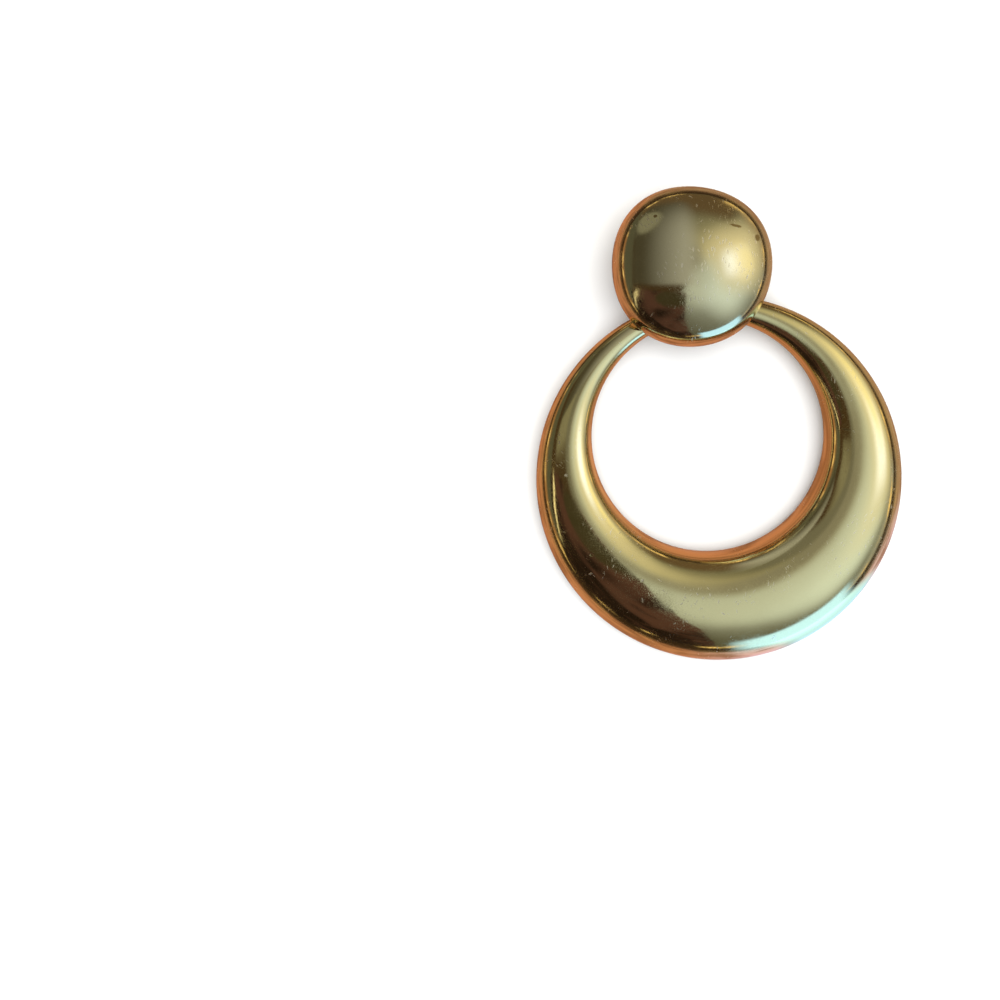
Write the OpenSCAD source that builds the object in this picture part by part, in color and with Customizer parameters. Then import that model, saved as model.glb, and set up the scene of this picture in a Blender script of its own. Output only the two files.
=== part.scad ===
// Doorknocker earring: a domed button with a crescent hoop that hangs in a loop behind it.
// It lies face up: X runs across, Y from the hoop up to the button, Z out of the surface it lies on.
// The origin is on that surface, in the middle of the earring's length and width.

/* [Hoop] */
// Outer diameter of the crescent
hoop_d = 44; // [40:0.5:52]
// Diameter of the round hole
hole_d = 28; // [26:0.2:29]
// Width of the crescent at its thinnest
bar_w = 2.6; // [2.4:0.1:3]
// Rise of the front above the widest plane, at the thick bottom
front_h = 5; // [4.4:0.1:6]
// Depth of the flattened back below the widest plane, at the thick bottom
back_h = 1.3; // [1:0.1:1.5]
// How far the crest of the front leans towards the hole, at the thick bottom
crest_lean = 0.4; // [0:0.1:0.8]
// Fullness of the front at the thick bottom: 2 is half an ellipse, more is squarer
front_power = 2.3; // [2:0.1:2.6]
// Turn of the crescent round its own middle, as it has slid in the loop
slide_deg = 5.8; // [0:0.1:10]

/* [Button] */
// Diameter of the domed button
button_d = 18.9; // [17:0.1:22]
// Rise of the dome above the button's rim
dome_h = 4.9; // [4.2:0.1:5.4]
// Radius of the dome's shoulder, where it turns down to the rim
shoulder_r = 3.2; // [2.8:0.1:3.6]
// Radius of the rim's rounded lower edge, which is the depth from the rim to the flat back
rim_r = 0.9; // [0.6:0.1:1.2]
// Distance from the hoop's middle to the button's middle
button_reach = 25.4; // [24.8:0.1:26]

/* [Loop] */
// Width of the loop along the bar
loop_w = 2.4; // [1.6:0.1:3]
// Thickness of the loop's metal
loop_t = 0.65; // [0.5:0.05:0.8]
// Play between the bar and the loop
loop_gap = 0.35; // [0.25:0.05:0.4]

/* [Ear clip] */
// Gap between the paddle and the button's back, where the ear lobe goes
lobe_gap = 4.4; // [4.2:0.1:5]
// Thickness of the paddle
paddle_t = 0.9; // [0.7:0.1:1.2]
// Radius of the paddle's round end
paddle_r = 4; // [3:0.1:4.2]
// Distance from the button's middle up to the middle of the paddle's round end
paddle_up = 4.6; // [4:0.1:4.8]
// Width of the foot that joins the paddle to the button
foot_w = 5; // [4:0.1:5.6]
// Thickness of the foot
foot_t = 1.8; // [1.2:0.1:2]

/* [Hidden] */

STATIONS = 80;
SECTION_SIDES = 28;
ROUND_FN = 96;
FULL_TURN = 360;
HALF_TURN = 180;

// Powers of the section's outline: an ellipse's, as at the thin top, and the flatter back's at the thick bottom
ELLIPSE = 2;
back_power = 3;
// Depth that the loop's bore stays below the button's flat back
loop_seat = 0.1;
// Gap between the loop and the clip's foot
foot_clear = 0.4;

// Radii of the hoop, the shift of its hole towards the thin top, and half widths of its thinnest and thickest section
hoop_r = hoop_d / 2;
hole_r = hole_d / 2;
hole_shift = hoop_r - hole_r - bar_w;
thin_half = bar_w / 2;
thick_half = thin_half + hole_shift;

// Distance from the hoop's middle to the edge of its hole, at a turn from the thin top
function hole_edge(turn) =
    hole_shift * cos(turn) + sqrt(pow(hole_r, 2) - pow(hole_shift * sin(turn), 2));

// How far a section has grown from the thin top, 0, to the thick bottom, 1
function growth(half) = (half - thin_half) / (thick_half - thin_half);

// A value between its thin and its thick one
function grown_value(thin, thick, grown) = thin + (thick - thin) * grown;

// A superellipse's coordinate, from the sine or cosine of the angle
function rounded(value, power) = sign(value) * pow(abs(value), 2 / power);

// A point of the section: distance out from the section's middle, and height over the widest plane
function section_point(half, angle) =
    let(grown = growth(half))
    let(front = angle <= HALF_TURN)
    let(height = grown_value(thin_half, front ? front_h : back_h, grown))
    let(power = grown_value(ELLIPSE, front ? front_power : back_power, grown))
    let(lean = front ? crest_lean * grown * sin(angle) : 0)
    [half * rounded(cos(angle), power) - lean, height * rounded(sin(angle), power)];

// A point of the hoop, at a turn from the thin top and an angle round the section
function hoop_point(turn, angle) =
    let(inner = hole_edge(turn))
    let(half = (hoop_r - inner) / 2)
    let(point = section_point(half, angle))
    let(reach = inner + half + point[0])
    [reach * sin(turn), reach * cos(turn), point[1]];

hoop_points = [
    for (station = [0 : STATIONS - 1], corner = [0 : SECTION_SIDES - 1])
        hoop_point(FULL_TURN * station / STATIONS, FULL_TURN * corner / SECTION_SIDES)
];

function corner_index(station, corner) =
    (station % STATIONS) * SECTION_SIDES + corner % SECTION_SIDES;

hoop_faces = [
    for (station = [0 : STATIONS - 1], corner = [0 : SECTION_SIDES - 1], second = [false, true])
        second
            ? [corner_index(station, corner), corner_index(station + 1, corner + 1),
               corner_index(station, corner + 1)]
            : [corner_index(station, corner), corner_index(station + 1, corner),
               corner_index(station + 1, corner + 1)]
];

// The bar's middle where the loop holds it, and the bore round it
bar_half = (hoop_r - hole_edge(slide_deg)) / 2;
bar_reach = hoop_r - bar_half;
bore_r = bar_half + loop_gap;

// Heights over the surface
back_z = paddle_t + lobe_gap;
rim_z = back_z + rim_r;
bar_z = back_z - loop_seat - bore_r;

// The hoop slopes from the loop down to the surface until its back touches: the lowest point at a slope
function lowest(tilt) =
    bar_z + min([
        for (point = hoop_points)
            (point[0] * sin(slide_deg) + point[1] * cos(slide_deg) - bar_reach) * sin(tilt)
                + point[2] * cos(tilt)
    ]);

// Each step lowers or lifts the hoop's bottom by what its lowest point still lacks
span = bar_reach + hoop_r - thick_half;
SETTLE_STEPS = 4;
function settled(tilt, steps) =
    steps == 0 ? tilt : settled(tilt + asin(lowest(tilt) / span), steps - 1);
slope = settled(asin((bar_z - back_h) / span), SETTLE_STEPS);

// Places along the length
button_r = button_d / 2;
length = hoop_r + button_reach + button_r;
hoop_y = hoop_r - length / 2;
button_y = hoop_y + button_reach;
loop_y = hoop_y + bar_reach;
foot_y = loop_y + bore_r + loop_t + foot_clear;
paddle_y = button_y + paddle_up;

// The dome's crown is an arc that meets the shoulder's arc in a common tangent
shoulder_x = button_r - shoulder_r;
crown_r = (pow(shoulder_x, 2) + pow(dome_h, 2) - pow(shoulder_r, 2)) / (2 * (dome_h - shoulder_r));
crown_z = dome_h - crown_r;

// Half of the dome's outline, with the rim's plane at zero height
module button_profile() {
    intersection() {
        union() {
            intersection() {
                translate([0, crown_z]) circle(r = crown_r, $fn = ROUND_FN);
                polygon([[0, crown_z], [2 * shoulder_x, -crown_z], [0, 2 * crown_r]]);
            }
            intersection() {
                translate([shoulder_x, 0]) circle(r = shoulder_r, $fn = ROUND_FN);
                square([button_r, dome_h]);
            }
            translate([button_r - rim_r, 0]) circle(r = rim_r, $fn = ROUND_FN);
            translate([0, -rim_r]) square([button_r - rim_r, rim_r]);
        }
        translate([0, -rim_r]) square([button_r, dome_h + rim_r]);
    }
}

// The loop round the bar, which is soldered to the button's back
module hoop_loop() {
    translate([-loop_w / 2, loop_y, bar_z])
        rotate([0, 90, 0])
            linear_extrude(loop_w)
                difference() {
                    circle(r = bore_r + loop_t, $fn = ROUND_FN);
                    circle(r = bore_r, $fn = ROUND_FN);
                }
}

module button() {
    color([0.83, 0.74, 0.46]) {
        translate([0, button_y, rim_z])
            rotate_extrude($fn = ROUND_FN)
                button_profile();
        hoop_loop();
    }
}

// The crescent, slid round in the loop and sloping down to the surface
module hoop() {
    color([0.8, 0.7, 0.42])
        translate([0, loop_y, bar_z])
            rotate([slope, 0, 0])
                translate([0, -bar_reach, 0])
                    rotate([0, 0, slide_deg])
                        polyhedron(points = hoop_points, faces = hoop_faces);
}

// A paddle that lies flat on the surface, on a foot that stands against the button's back
module ear_clip() {
    color([0.74, 0.64, 0.4]) {
        linear_extrude(paddle_t) {
            translate([0, paddle_y]) circle(r = paddle_r, $fn = ROUND_FN);
            polygon([
                [-foot_w / 2, foot_y],
                [foot_w / 2, foot_y],
                [paddle_r, paddle_y],
                [-paddle_r, paddle_y]
            ]);
        }
        translate([-foot_w / 2, foot_y, 0])
            cube([foot_w, foot_t, back_z]);
    }
}

button();
hoop();
ear_clip();
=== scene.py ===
# %% [markdown]
# A doorknocker earring is a domed button with a crescent hoop that hangs from a loop behind it.
# Both are hollow shells of thin brass, pressed in dies, soldered along their rims, plated with pale
# gold and polished like a mirror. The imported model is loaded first, because it says where each
# piece is and how big it may be. Everything below is built round it, in metres, face up on a table.

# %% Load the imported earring
import math

import bpy
from mathutils import Matrix, Vector


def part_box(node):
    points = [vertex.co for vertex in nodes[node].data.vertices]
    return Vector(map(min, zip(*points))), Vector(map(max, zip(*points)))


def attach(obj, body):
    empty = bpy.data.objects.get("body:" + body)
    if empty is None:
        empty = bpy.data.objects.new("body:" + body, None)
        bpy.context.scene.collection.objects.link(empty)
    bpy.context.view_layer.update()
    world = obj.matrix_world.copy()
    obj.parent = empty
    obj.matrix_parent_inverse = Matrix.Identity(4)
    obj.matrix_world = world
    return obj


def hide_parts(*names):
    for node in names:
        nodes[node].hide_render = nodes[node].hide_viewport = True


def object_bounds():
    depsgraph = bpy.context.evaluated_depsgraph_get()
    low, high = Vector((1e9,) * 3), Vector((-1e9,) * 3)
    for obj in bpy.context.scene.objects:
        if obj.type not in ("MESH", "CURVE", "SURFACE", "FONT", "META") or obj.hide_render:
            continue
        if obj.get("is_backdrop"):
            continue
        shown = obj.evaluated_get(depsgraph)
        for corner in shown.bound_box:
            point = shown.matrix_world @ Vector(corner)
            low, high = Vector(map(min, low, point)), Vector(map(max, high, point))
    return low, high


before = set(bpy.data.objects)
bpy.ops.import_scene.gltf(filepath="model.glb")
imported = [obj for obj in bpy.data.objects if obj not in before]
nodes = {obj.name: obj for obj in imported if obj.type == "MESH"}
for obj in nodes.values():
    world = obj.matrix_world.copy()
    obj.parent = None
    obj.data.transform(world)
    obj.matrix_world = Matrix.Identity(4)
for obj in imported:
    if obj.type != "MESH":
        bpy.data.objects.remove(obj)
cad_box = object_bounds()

MM = 0.001
print("pieces in the frame:", ", ".join(sorted(nodes)))
for name in sorted(nodes):
    low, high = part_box(name)
    print(f"{name}: {[round((high[i] - low[i]) / MM, 2) for i in range(3)]} mm")

# %% [markdown]
# The camera comes first, so that every later step can be judged through it. A flat, shiny thing is
# best seen from straight above, where its outline is true. A real product camera on a copy stand
# does the same: it looks straight down and slides its lens sideways to frame the piece. Blender's
# shift does that sliding, and keeps round rims round, which turning the camera would not.

# %% Camera
EYE = Vector((-20.4, 2.73, 129.1)) * MM
LENS_MM = 37.8
SENSOR_MM = 36
ROLL = math.radians(-8.74)
SHIFT_RIGHT = -0.04
SHIFT_UP = -0.07


def make_camera():
    data = bpy.data.cameras.new("copy_stand_camera")
    data.lens = LENS_MM
    data.sensor_width = SENSOR_MM
    data.shift_x = SHIFT_RIGHT
    data.shift_y = SHIFT_UP
    data.clip_start = 1 * MM
    camera = bpy.data.objects.new("copy_stand_camera", data)
    camera.location = EYE
    camera.rotation_euler = (0, 0, ROLL)
    bpy.context.scene.collection.objects.link(camera)
    bpy.context.scene.camera = camera
    return camera


camera = make_camera()
print(f"camera {EYE.z / MM:.0f} mm over the table, lens {LENS_MM} mm")

# %% [markdown]
# Polished metal shows every flat facet, so each piece gets a dense mesh of its own, worked out from
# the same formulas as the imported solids. Rings of points joined by quads make both the crescent,
# which closes on itself, and the button, which closes at its middle. A subdivision surface would
# pull such rings off their true radius, and plain rings stay on it.

# %% Joining rings of points into a mesh


def ring_faces(rings, sides, closed):
    """Quads between neighbouring rings; closed joins the last ring to the first."""
    faces = []
    for ring in range(rings if closed else rings - 1):
        here = ring * sides
        there = (ring + 1) % rings * sides
        for side in range(sides):
            after = (side + 1) % sides
            faces.append((here + side, here + after, there + after, there + side))
    return faces


def piece_from(name, points, faces):
    """A smooth shaded object at the origin whose mesh holds its place."""
    mesh = bpy.data.meshes.new(name)
    mesh.from_pydata([tuple(point) for point in points], [], faces)
    mesh.validate()
    mesh.update()
    mesh.shade_smooth()
    piece = bpy.data.objects.new(name, mesh)
    bpy.context.scene.collection.objects.link(piece)
    return piece


def report(piece):
    """Prints how many faces a piece has, and its size."""
    corners = [vertex.co for vertex in piece.data.vertices]
    size = [(max(c[i] for c in corners) - min(c[i] for c in corners)) / MM for i in range(3)]
    print(f"{piece.name}: {len(piece.data.polygons)} faces, {[round(s, 2) for s in size]} mm")


print("mesh helpers ready")

# %% [markdown]
# The crescent is a round ring whose round hole sits off its middle, so that its walls are thin at
# the top and swell to a fat bottom. Across, its front is a full arch and its back is flatter.
# It could be a bevelled curve with a changing radius, but a curve's section can't change its shape
# on the way, so each section is worked out here: how far the hole's edge is, how wide the wall is,
# and from that how high its front rises.

# %% The crescent's own shape
hoop_r = 22 * MM
hole_r = 14 * MM
bar_w = 2.6 * MM
front_h = 5 * MM
back_h = 1.3 * MM
crest_lean = 0.4 * MM
front_power = 2.3
back_power = 3
ELLIPSE = 2

hole_shift = hoop_r - hole_r - bar_w
thin_half = bar_w / 2
STATIONS = 480
SECTION_SIDES = 120


def hole_edge(turn):
    """Distance from the hoop's middle to its hole, at a turn from the thin top."""
    across = hole_shift * math.sin(turn)
    return hole_shift * math.cos(turn) + math.sqrt(hole_r ** 2 - across ** 2)


def rounded(value, power):
    """A superellipse's coordinate, from the sine or cosine of its angle."""
    return math.copysign(abs(value) ** (2 / power), value)


def section_point(half, angle):
    """Distance out from the section's middle, and height over the widest plane."""
    grown = (half - thin_half) / hole_shift
    front = angle <= math.pi
    height = thin_half + ((front_h if front else back_h) - thin_half) * grown
    power = ELLIPSE + ((front_power if front else back_power) - ELLIPSE) * grown
    lean = crest_lean * grown * math.sin(angle) if front else 0
    return half * rounded(math.cos(angle), power) - lean, height * rounded(math.sin(angle), power)


def hoop_point(turn, angle):
    inner = hole_edge(turn)
    half = (hoop_r - inner) / 2
    out, height = section_point(half, angle)
    reach = inner + half + out
    return Vector((reach * math.sin(turn), reach * math.cos(turn), height))


print(f"the crescent's wall grows from {bar_w / MM:.1f} to {(hoop_r - hole_edge(math.pi)) / MM:.1f} mm")

# %% [markdown]
# The crescent lies where the loop and the table hold it: its thin top is in the loop, a little
# turned, and its fat bottom has sunk until the back touches the table. The slope is found by trying
# one, measuring how far the lowest point misses the table, and correcting by that.

# %% Laying the crescent down
SLIDE = math.radians(5.8)
loop_gap = 0.35 * MM
loop_seat = 0.1 * MM
SETTLE_STEPS = 5

button_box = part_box("button")
clip_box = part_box("ear_clip")
back_z = clip_box[1][2]
bar_half = (hoop_r - hole_edge(SLIDE)) / 2
bar_reach = hoop_r - bar_half
bore_r = bar_half + loop_gap
bar_z = back_z - loop_seat - bore_r
button_reach = 25.4 * MM
button_r = (button_box[1][0] - button_box[0][0]) / 2
button_y = button_box[1][1] - button_r
hoop_y = button_y - button_reach
loop_y = hoop_y + bar_reach

slid = Matrix.Translation((0, -bar_reach, 0)) @ Matrix.Rotation(SLIDE, 4, "Z")
hoop_points = [
    slid @ hoop_point(math.tau * station / STATIONS, math.tau * corner / SECTION_SIDES)
    for station in range(STATIONS)
    for corner in range(SECTION_SIDES)
]


def settle(points):
    """The slope at which the hoop's back just touches the table."""
    span = bar_reach + hoop_r
    slope = 0
    for _ in range(SETTLE_STEPS):
        lowest = bar_z + min(p.y * math.sin(slope) + p.z * math.cos(slope) for p in points)
        slope += math.asin(lowest / span)
    return slope


slope = settle(hoop_points)
laid = Matrix.Translation((0, loop_y, bar_z)) @ Matrix.Rotation(slope, 4, "X")
crescent = piece_from(
    "crescent",
    [laid @ point for point in hoop_points],
    ring_faces(STATIONS, SECTION_SIDES, closed=True),
)
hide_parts("hoop")
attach(crescent, "root")
print(f"slope {math.degrees(slope):.2f} degrees")
report(crescent)

# %% [markdown]
# The button is a shallow dome with a rounded shoulder, a rounded rim and a flat back. Spun on a
# lathe it would be perfectly round, and a Screw modifier could turn it. The real one was pressed and
# then polished by hand, which left it very slightly cushion shaped, so the rings are written out and
# each is a circle with a hundredth more or less here and there, in three and in four soft corners.

# %% The button's dome
dome_h = 4.9 * MM
shoulder_r = 3.2 * MM
rim_r = 0.9 * MM
CORNERS = ((3, 0.0108, math.radians(6.5)), (4, 0.0103, math.radians(32.5)))
CROWN_RINGS = 64
SHOULDER_RINGS = 40
RIM_RINGS = 18
DOME_SIDES = 320

rim_z = back_z + rim_r
shoulder_x = button_r - shoulder_r
crown_r = (shoulder_x ** 2 + dome_h ** 2 - shoulder_r ** 2) / (2 * (dome_h - shoulder_r))
crown_z = dome_h - crown_r
shoulder_turn = math.atan2(shoulder_x, -crown_z)


def arc(middle, radius, start, end, steps):
    """Points on an arc, as distance out and height; angles run from straight up."""
    turns = [start + (end - start) * step / steps for step in range(1, steps + 1)]
    return [(middle[0] + radius * math.sin(t), middle[1] + radius * math.cos(t)) for t in turns]


dome_profile = (
    arc((0, crown_z), crown_r, 0, shoulder_turn, CROWN_RINGS)
    + arc((shoulder_x, 0), shoulder_r, shoulder_turn, math.pi / 2, SHOULDER_RINGS)
    + arc((button_r - rim_r, 0), rim_r, math.pi / 2, math.pi, RIM_RINGS)
)


def cushion(turn, out):
    """How much wider than a circle the button is, at a bearing; it fades out towards the middle."""
    swell = sum(share * math.cos(count * (turn - peak)) for count, share, peak in CORNERS)
    return 1 + swell * (out / button_r) ** 2


def make_dome():
    points = []
    for out, height in dome_profile:
        for side in range(DOME_SIDES):
            turn = math.tau * side / DOME_SIDES
            reach = out * cushion(turn, out)
            points.append((reach * math.cos(turn), button_y + reach * math.sin(turn), rim_z + height))
    rings = len(dome_profile)
    faces = [tuple(reversed(face)) for face in ring_faces(rings, DOME_SIDES, closed=False)]
    top = len(points)
    points.append((0, button_y, rim_z + dome_h))
    faces += [(top, side, (side + 1) % DOME_SIDES) for side in range(DOME_SIDES)]
    last = (rings - 1) * DOME_SIDES
    faces.append(tuple(last + side for side in reversed(range(DOME_SIDES))))
    return piece_from("button_dome", points, faces)


dome = make_dome()
report(dome)

# %% [markdown]
# Behind the dome a strap is bent round the crescent's thin top and soldered to the flat back, with a
# small pool of solder at each foot. Three meshes that merely cross would leave hidden faces inside,
# so an exact boolean union makes them one closed skin, as solder does with the metal.

# %% The loop and its solder
loop_w = 2.4 * MM
loop_t = 0.65 * MM
STRAP_EDGE = 0.18 * MM
STRAP_SIDES = 96
EDGE_STEPS = 5
SOLDER_SIZE = Vector((1.3, 0.75, 0.3)) * MM
SOLDER_RINGS = 16
SOLDER_SIDES = 48


def strap_section():
    """A flat bar's outline with rounded edges: place along the bar, and distance out."""
    middle = bore_r + loop_t / 2
    corners = [(1, 1, 0), (-1, 1, 1), (-1, -1, 2), (1, -1, 3)]
    outline = []
    for along, out, quarter in corners:
        x = along * (loop_w / 2 - STRAP_EDGE)
        r = middle + out * (loop_t / 2 - STRAP_EDGE)
        for step in range(EDGE_STEPS + 1):
            turn = (quarter + step / EDGE_STEPS) * math.pi / 2
            outline.append((x + STRAP_EDGE * math.cos(turn), r + STRAP_EDGE * math.sin(turn)))
    return outline


def make_strap():
    outline = strap_section()
    points = []
    for side in range(STRAP_SIDES):
        turn = math.tau * side / STRAP_SIDES
        for x, r in outline:
            points.append((x, loop_y + r * math.cos(turn), bar_z + r * math.sin(turn)))
    faces = [tuple(reversed(face)) for face in ring_faces(STRAP_SIDES, len(outline), closed=True)]
    return piece_from("strap", points, faces)


def make_solder(y):
    """A flattened ball, half sunk in the button's back."""
    points = []
    for ring in range(1, SOLDER_RINGS):
        tilt = math.pi * ring / SOLDER_RINGS
        for side in range(SOLDER_SIDES):
            turn = math.tau * side / SOLDER_SIDES
            level = math.sin(tilt)
            unit = Vector((level * math.cos(turn), level * math.sin(turn), math.cos(tilt)))
            points.append(unit * SOLDER_SIZE + Vector((0, y, back_z)))
    rings = SOLDER_RINGS - 1
    faces = [tuple(reversed(face)) for face in ring_faces(rings, SOLDER_SIDES, closed=False)]
    poles = len(points)
    points.append(Vector((0, y, back_z + SOLDER_SIZE.z)))
    points.append(Vector((0, y, back_z - SOLDER_SIZE.z)))
    last = (rings - 1) * SOLDER_SIDES
    for side in range(SOLDER_SIDES):
        after = (side + 1) % SOLDER_SIDES
        faces.append((poles, side, after))
        faces.append((poles + 1, last + after, last + side))
    return piece_from("solder", points, faces)


def solder_on(piece, other):
    """Joins other to piece as one skin, and removes other."""
    union = piece.modifiers.new("solder", "BOOLEAN")
    union.operation = "UNION"
    union.solver = "EXACT"
    union.object = other
    depsgraph = bpy.context.evaluated_depsgraph_get()
    mesh = bpy.data.meshes.new_from_object(piece.evaluated_get(depsgraph))
    piece.modifiers.remove(union)
    piece.data = mesh
    bpy.data.objects.remove(other)


SHARP_EDGE = math.radians(32)
strap_foot = math.sqrt((bore_r + loop_t) ** 2 - (back_z - bar_z) ** 2)
for extra in (make_strap(), make_solder(loop_y + strap_foot), make_solder(loop_y - strap_foot)):
    solder_on(dome, extra)
dome.data.set_sharp_from_angle(angle=SHARP_EDGE)
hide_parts("button")
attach(dome, "root")
report(dome)

# %% [markdown]
# The ear clip hides behind the button: a paddle that lies flat on the table, on a foot that stands
# against the button's back. It is cut from plate, so it is an outline pulled up, with its edges
# broken by a file. A Bevel modifier on the plain shape gives just those rounded edges.

# %% The ear clip
paddle_t = 0.9 * MM
paddle_r = 4 * MM
paddle_up = 4.6 * MM
foot_w = 5 * MM
foot_t = 1.8 * MM
CLIP_EDGE = 0.22 * MM
CLIP_EDGE_STEPS = 4
PADDLE_STEPS = 48

paddle_y = button_y + paddle_up
foot_y = clip_box[0][1]


def clip_outline():
    """The paddle seen from above: a straight foot end that widens to a round end."""
    outline = [(-foot_w / 2, foot_y), (foot_w / 2, foot_y)]
    for step in range(PADDLE_STEPS + 1):
        turn = math.pi * step / PADDLE_STEPS
        outline.append((paddle_r * math.cos(turn), paddle_y + paddle_r * math.sin(turn)))
    return outline


def pulled_up(name, outline, low, high):
    count = len(outline)
    points = [(x, y, z) for z in (low, high) for x, y in outline]
    faces = [tuple(reversed(range(count))), tuple(range(count, 2 * count))]
    faces += [(i, (i + 1) % count, count + (i + 1) % count, count + i) for i in range(count)]
    return piece_from(name, points, faces)


def make_clip():
    foot_outline = [
        (-foot_w / 2, foot_y),
        (foot_w / 2, foot_y),
        (foot_w / 2, foot_y + foot_t),
        (-foot_w / 2, foot_y + foot_t),
    ]
    clip = pulled_up("clip", clip_outline(), 0, paddle_t)
    solder_on(clip, pulled_up("foot", foot_outline, 0, back_z))
    bevel = clip.modifiers.new("filed edges", "BEVEL")
    bevel.width = CLIP_EDGE
    bevel.segments = CLIP_EDGE_STEPS
    bevel.limit_method = "ANGLE"
    depsgraph = bpy.context.evaluated_depsgraph_get()
    clip.data = bpy.data.meshes.new_from_object(clip.evaluated_get(depsgraph))
    clip.modifiers.clear()
    clip.data.shade_smooth()
    clip.data.set_sharp_from_angle(angle=SHARP_EDGE)
    return clip


clip = make_clip()
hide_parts("ear_clip")
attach(clip, "root")
report(clip)

# %% [markdown]
# Now the finish. Worn polish, scratches and plating are the same idea on every piece, at different
# strengths, so each is a node group with named inputs, built once. First come two small helpers:
# one opens a group with its sockets, the other adds a node and sets what it needs.

# %% Helpers for node trees


def open_group(name, inputs, outputs):
    group = bpy.data.node_groups.new(name, "ShaderNodeTree")
    for label, kind, value in inputs:
        socket = group.interface.new_socket(name=label, in_out="INPUT", socket_type=kind)
        socket.default_value = value
    for label, kind in outputs:
        group.interface.new_socket(name=label, in_out="OUTPUT", socket_type=kind)
    return group, group.nodes.new("NodeGroupInput"), group.nodes.new("NodeGroupOutput")


def add(tree, kind, settings=None, **inputs):
    """Adds a node; an input is a number, a colour, or another node's socket."""
    node = tree.nodes.new(kind)
    for label, value in (settings or {}).items():
        setattr(node, label, value)
    for label, value in inputs.items():
        place = int(label[1:]) if label[0] == "i" and label[1:].isdigit() else label.replace("_", " ")
        socket = node.inputs[place]
        if isinstance(value, bpy.types.NodeSocket):
            tree.links.new(value, socket)
        else:
            socket.default_value = value
    return node


def math_node(tree, operation, first, second=0.0):
    return add(tree, "ShaderNodeMath", {"operation": operation}, i0=first, i1=second).outputs[0]


def remap(tree, value, low, high, to_low=0.0, to_high=1.0):
    """A soft step from low to high."""
    settings = {"interpolation_type": "SMOOTHSTEP"}
    node = add(tree, "ShaderNodeMapRange", settings, i0=value, i1=low, i2=high, i3=to_low, i4=to_high)
    return node.outputs[0]


def mix_colour(tree, share, first, second):
    settings = {"data_type": "RGBA"}
    return add(tree, "ShaderNodeMix", settings, i0=share, i6=first, i7=second).outputs[2]


print("helpers ready")

# %% [markdown]
# Scratches on polished gold are short, straight and thin, and only some of them catch the light.
# Noise could be thresholded into lines, but it wanders. Voronoi cells in squeezed space are better:
# near each cell's centre lies a small ellipse, which the squeeze turns into a thin dash, and the
# cell's own random colour decides whether the dash is there at all.

# %% A group for short scratches
NOISE_MIDDLE = 0.5
WOBBLE_SCALE = 120.0
WOBBLE_TURN = 0.3
DASH_FADE = (0.3, 0.11)
FAINTEST_DASH = 0.4


def make_scratches():
    group, given, out = open_group(
        "short_scratches",
        [
            ("Vector", "NodeSocketVector", (0, 0, 0)),
            ("Turn", "NodeSocketFloat", 0.0),
            ("Squeeze along", "NodeSocketFloat", 1000.0),
            ("Squeeze across", "NodeSocketFloat", 9000.0),
            ("Share", "NodeSocketFloat", 0.3),
        ],
        [("Mask", "NodeSocketFloat")],
    )
    vector = given.outputs["Vector"]
    along = given.outputs["Squeeze along"]
    across = given.outputs["Squeeze across"]
    wobble = add(group, "ShaderNodeTexNoise", Vector=vector, Scale=WOBBLE_SCALE, Detail=1.0)
    swing = math_node(group, "SUBTRACT", wobble.outputs[0], NOISE_MIDDLE)
    swing = math_node(group, "MULTIPLY", swing, WOBBLE_TURN)
    total = math_node(group, "ADD", swing, given.outputs["Turn"])
    turned = add(
        group, "ShaderNodeVectorRotate", {"rotation_type": "Z_AXIS"}, Vector=vector, Angle=total,
    )
    squeeze = add(group, "ShaderNodeCombineXYZ", X=across, Y=along, Z=along)
    squeezed = add(
        group, "ShaderNodeVectorMath", {"operation": "MULTIPLY"},
        i0=turned.outputs[0], i1=squeeze.outputs[0],
    )
    cells = add(group, "ShaderNodeTexVoronoi", Vector=squeezed.outputs[0], Scale=1.0)
    dash = remap(group, cells.outputs["Distance"], *DASH_FADE)
    pick = add(group, "ShaderNodeSeparateColor", Color=cells.outputs["Color"])
    there = math_node(group, "LESS_THAN", pick.outputs[0], given.outputs["Share"])
    strength = math_node(group, "MULTIPLY", dash, there)
    fading = remap(group, pick.outputs[1], 0.0, 1.0, FAINTEST_DASH, 1.0)
    group.links.new(math_node(group, "MULTIPLY", strength, fading), out.inputs["Mask"])
    return group


scratches = make_scratches()
print("group:", scratches.name)

# %% [markdown]
# Years of wiping leave a haze that is stronger in some places, a grain too fine to see that puts a
# soft halo round every highlight, and a few pits where the plating has gone through. All are masks
# over the surface: broad noise for the haze, very fine noise for the grain, and sparse Voronoi dots
# for the pits. The group also gives the long, faint waves of a hand polished sheet, which bend
# reflections a little.

# %% A group for worn polish
HAZE_STEP = (0.38, 0.7)
GRAIN_STEP = (0.45, 0.65)
PIT_EDGE = (0.11, 0.03)


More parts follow.
